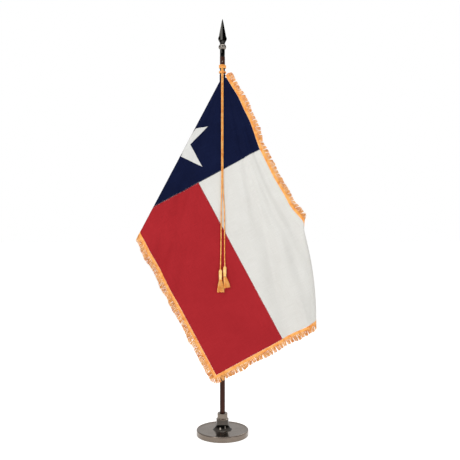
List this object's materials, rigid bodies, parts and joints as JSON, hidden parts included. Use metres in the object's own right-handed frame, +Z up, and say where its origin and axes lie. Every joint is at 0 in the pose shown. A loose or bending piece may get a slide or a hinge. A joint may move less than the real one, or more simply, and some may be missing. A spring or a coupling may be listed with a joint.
{
  "type": "indoor flag set on floor stand",
  "caption": "Fringed flag draped from a two-piece wooden pole with spear finial, tasselled cord and weighted round chrome floor stand.",
  "frame": {"origin": "centre of the base's felt pad, on the floor", "axes": "+Z up along the pole, -Y towards the front of the draped flag, +X to the viewer's right"},
  "size_m": [1.1135, 0.324, 2.597],
  "materials": {
    "chrome_plate": "bright chrome plate",
    "zinc_steel": "zinc-plated steel",
    "cast_iron": "as-cast iron",
    "base_felt": "pressed wool felt",
    "stained_oak": "dark red-brown stain under satin lacquer",
    "brass": "turned brass",
    "fibre": "vulcanised fibre",
    "nylon": "moulded nylon",
    "leather": "vegetable-tanned strap leather",
    "navy_cloth": "plain-weave nylon",
    "white_cloth": "plain-weave nylon",
    "red_cloth": "plain-weave nylon",
    "gold_fringe": "twisted rayon bullion fringe",
    "gold_cord": "twisted rayon cord"
  },
  "bodies": {
    "stand": {"felt_pad": "base_felt", "base_plate": "zinc_steel", "plate_screw_1": "zinc_steel", "plate_screw_2": "zinc_steel", "plate_screw_3": "zinc_steel", "ballast_weight": "cast_iron", "base_shell": "chrome_plate", "neck_bell": "chrome_plate", "socket_tube": "zinc_steel", "lock_washer": "zinc_steel", "lock_nut": "zinc_steel", "top_collar": "chrome_plate"},
    "clamp_tip": {"clamp_tip": "nylon"},
    "clamp_screw": {"thumb_screw_shank": "chrome_plate", "thumb_screw_knob": "chrome_plate"},
    "pole_bushing": {"pole_bushing": "nylon"},
    "lower_pole": {"lower_shaft": "stained_oak", "lower_joint_ferrule": "chrome_plate", "lower_ferrule_pin": "zinc_steel", "joint_stud": "zinc_steel"},
    "joint_washer": {"joint_washer": "fibre"},
    "upper_pole": {"upper_shaft": "stained_oak", "upper_joint_ferrule": "chrome_plate", "upper_ferrule_pin": "zinc_steel", "joint_insert": "brass", "finial_ferrule": "chrome_plate", "finial_ferrule_pin": "zinc_steel", "finial_insert": "brass", "cord_screw": "chrome_plate", "cord_hitch": "gold_cord", "tab_screw": "chrome_plate", "leather_tab": "leather", "flag_sleeve": "navy_cloth", "blue_stripe": "navy_cloth", "white_stripe": "white_cloth", "red_stripe": "red_cloth", "front_star": "white_cloth", "back_star": "white_cloth", "fringe_top": "gold_fringe", "fringe_fly": "gold_fringe", "fringe_bottom": "gold_fringe"},
    "finial_washer": {"finial_washer": "fibre"},
    "finial": {"finial_stud": "zinc_steel", "finial_ball": "chrome_plate", "spear_blade": "chrome_plate"},
    "left_cord": {"left_cord": "gold_cord"},
    "left_tassel": {"left_tassel_head": "gold_cord", "left_tassel_skirt": "gold_fringe"},
    "right_cord": {"right_cord": "gold_cord"},
    "right_tassel": {"right_tassel_head": "gold_cord", "right_tassel_skirt": "gold_fringe"}
  },
  "joints": [
    {"name": "clamp_travel", "type": "slide", "parent": "stand", "child": "clamp_tip", "axis": [0, 1, 0], "range_m": [0, 0.003]},
    {"name": "clamp_turn", "type": "hinge", "parent": "clamp_tip", "child": "clamp_screw", "pos_m": [0, 0.03, 0.1175], "axis": [0, 1, 0], "range_deg": [0, 1080]},
    {"name": "pole_swivel", "type": "hinge", "parent": "stand", "child": "pole_bushing", "pos_m": [0, 0, 0.06], "axis": [0, 0, 1], "continuous": true},
    {"name": "pole_lift", "type": "slide", "parent": "pole_bushing", "child": "lower_pole", "axis": [0, 0, 1], "range_m": [0, 0.1]},
    {"name": "joint_rise", "type": "slide", "parent": "lower_pole", "child": "joint_washer", "axis": [0, 0, 1], "range_m": [0, 0.02]},
    {"name": "joint_unscrew", "type": "hinge", "parent": "joint_washer", "child": "upper_pole", "pos_m": [0, 0, 1.2066], "axis": [0, 0, 1], "range_deg": [0, 2880]},
    {"name": "finial_rise", "type": "slide", "parent": "upper_pole", "child": "finial_washer", "axis": [0, 0, 1], "range_m": [0, 0.0102]},
    {"name": "finial_unscrew", "type": "hinge", "parent": "finial_washer", "child": "finial", "pos_m": [0, 0, 2.4026], "axis": [0, 0, 1], "range_deg": [0, 2880]},
    {"name": "left_cord_swing", "type": "hinge", "parent": "upper_pole", "child": "left_cord", "pos_m": [-0.0037, -0.0266, 2.2511], "axis": [0, 1, 0], "range_deg": [0, 5.5]},
    {"name": "left_tassel_swing", "type": "hinge", "parent": "left_cord", "child": "left_tassel", "pos_m": [-0.0115, -0.0915, 1.0393], "axis": [-1, 0, 0], "range_deg": [0, 30]},
    {"name": "right_cord_swing", "type": "hinge", "parent": "upper_pole", "child": "right_cord", "pos_m": [0.0037, -0.0266, 2.2511], "axis": [0, -1, 0], "range_deg": [0, 5.5]},
    {"name": "right_tassel_swing", "type": "hinge", "parent": "right_cord", "child": "right_tassel", "pos_m": [0.0153, -0.0907, 1.0588], "axis": [-1, 0, 0], "range_deg": [0, 30]}
  ],
  "couplings": [
    {"joint": "clamp_turn", "follows": "clamp_travel", "rad_per_m": 6283.2},
    {"joint": "joint_rise", "follows": "joint_unscrew", "m_per_rad": 0.00039789},
    {"joint": "finial_rise", "follows": "finial_unscrew", "m_per_rad": 0.00020213}
  ]
}
